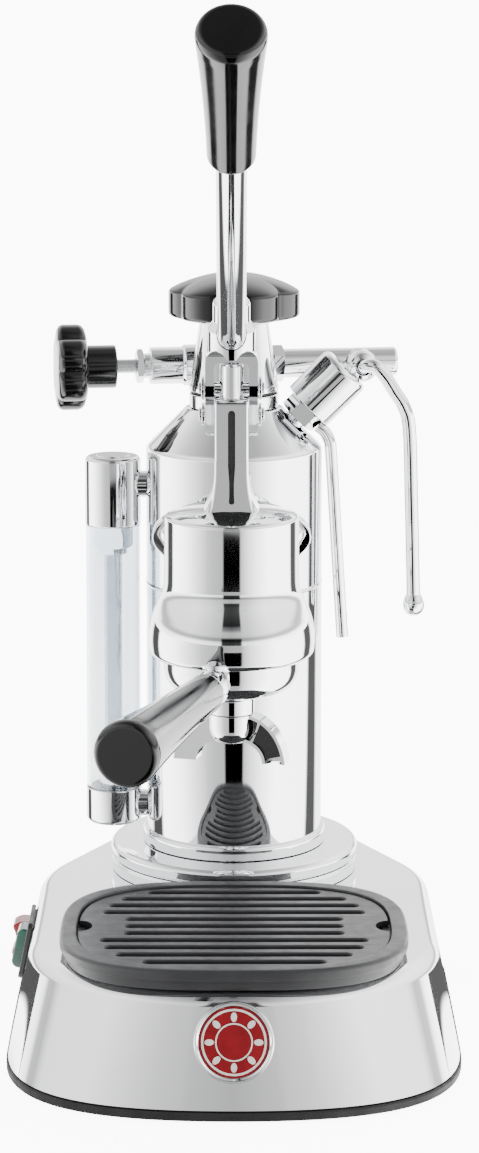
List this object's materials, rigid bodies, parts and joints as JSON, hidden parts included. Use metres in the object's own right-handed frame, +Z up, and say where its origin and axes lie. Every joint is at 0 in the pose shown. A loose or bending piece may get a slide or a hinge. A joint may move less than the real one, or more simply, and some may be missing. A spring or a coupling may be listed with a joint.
{
  "type": "lever espresso machine",
  "caption": "Chrome lever espresso machine: upright boiler on a sloping base, lever-driven brewing group, portafilter, steam wand, water gauge and drip tray.",
  "frame": {"origin": "on the table, at the middle of the machine's outline seen from above", "axes": "+Z up, the front with its lever and portafilter faces -Y, +X is the user's right"},
  "size_m": [0.1938, 0.3388, 0.4465],
  "materials": {
    "chrome": "polished chrome plate",
    "steel": "plain machined",
    "brass": "turned",
    "bakelite": "polished black",
    "tray_plastic": "satin dark grey",
    "black_plastic": "moulded",
    "rubber": "soft",
    "seal": "soft",
    "glass": "clear",
    "enamel": "glossy enamel",
    "red_plastic": "moulded",
    "green_lens": "moulded lens"
  },
  "bodies": {
    "machine": {"base_shell": "chrome", "base_trim": "rubber", "bottom_cover": "black_plastic", "foot_front_left": "rubber", "foot_front_right": "rubber", "foot_rear_left": "rubber", "foot_rear_right": "rubber", "front_badge": "enamel", "switch_bezel": "black_plastic", "power_lamp": "green_lens", "cable_inlet": "black_plastic", "boiler_shell": "chrome", "boiler_flange": "chrome", "boiler_base_ring": "chrome", "boiler_locknut": "steel", "filler_neck": "chrome", "heating_element": "steel", "element_gasket": "seal", "thermostat": "black_plastic", "gauge_upper_housing": "chrome", "gauge_lower_housing": "chrome", "gauge_nut": "chrome", "gauge_shield": "glass", "gauge_tube": "glass", "boiler_port": "chrome", "flange_gasket": "seal", "flange_bolt_left": "chrome", "flange_bolt_right": "chrome", "group_body": "chrome", "cylinder_sleeve": "brass", "shower_screen": "steel", "group_gasket": "seal", "steam_valve_body": "chrome", "steam_gland_nut": "chrome", "steam_outlet_tube": "chrome", "wand_joint_nut": "chrome", "safety_valve_base": "chrome", "safety_valve_cap": "chrome", "blow_off_pipe": "chrome"},
    "lever": {"lever_fork": "chrome", "lever_stem": "chrome", "lever_handle": "bakelite", "fulcrum_pin": "chrome"},
    "piston": {"piston_rod": "chrome", "piston_head": "brass", "piston_seal": "seal", "crosshead_pin": "chrome"},
    "portafilter": {"portafilter_body": "chrome", "portafilter_spout": "chrome", "filter_basket": "steel", "portafilter_handle": "bakelite"},
    "cap_seal": {"cap_gasket": "seal"},
    "filler_cap": {"boiler_cap": "chrome", "cap_knob": "bakelite"},
    "steam_control": {"steam_knob": "bakelite", "steam_spindle": "steel"},
    "wand": {"steam_wand": "chrome"},
    "rocker": {"power_switch": "red_plastic"},
    "tray": {"drip_tray": "tray_plastic"},
    "grille": {"drip_grille": "tray_plastic"}
  },
  "joints": [
    {"name": "lever_swing", "type": "hinge", "parent": "machine", "child": "lever", "pos_m": [-0.001, 0.0124, 0.2687], "axis": [1, 0, 0], "range_deg": [0, 75]},
    {"name": "piston_slide", "type": "slide", "parent": "machine", "child": "piston", "axis": [0, 0, -1], "range_m": [0, 0.0248]},
    {"name": "portafilter_turn", "type": "hinge", "parent": "machine", "child": "portafilter", "pos_m": [-0.001, -0.0036, 0.161], "axis": [0, 0, 1], "range_deg": [-40, 0]},
    {"name": "cap_lift", "type": "slide", "parent": "machine", "child": "cap_seal", "axis": [0, 0, 1], "range_m": [0, 0.03]},
    {"name": "cap_turn", "type": "hinge", "parent": "cap_seal", "child": "filler_cap", "pos_m": [0, 0.0914, 0.3], "axis": [0, 0, 1], "continuous": true},
    {"name": "steam_turn", "type": "hinge", "parent": "machine", "child": "steam_control", "pos_m": [0, 0.1234, 0.275], "axis": [0.9903, 0.1392, 0], "range_deg": [0, 540]},
    {"name": "wand_swing", "type": "hinge", "parent": "machine", "child": "wand", "pos_m": [0.05851, 0.11668, 0.275], "axis": [0.1392, -0.9903, 0], "range_deg": [-8, 60]},
    {"name": "switch_rock", "type": "hinge", "parent": "machine", "child": "rocker", "pos_m": [-0.0883, 0.0264, 0.0328], "axis": [0, -1, 0], "range_deg": [-16, 0]},
    {"name": "tray_lift", "type": "slide", "parent": "machine", "child": "tray", "axis": [0, 0, 1], "range_m": [0, 0.03]},
    {"name": "grille_lift", "type": "slide", "parent": "tray", "child": "grille", "axis": [0, 0, 1], "range_m": [0, 0.02]}
  ],
  "couplings": [
    {"joint": "piston_slide", "follows": "lever_swing", "m_per_rad": 0.01887}
  ]
}
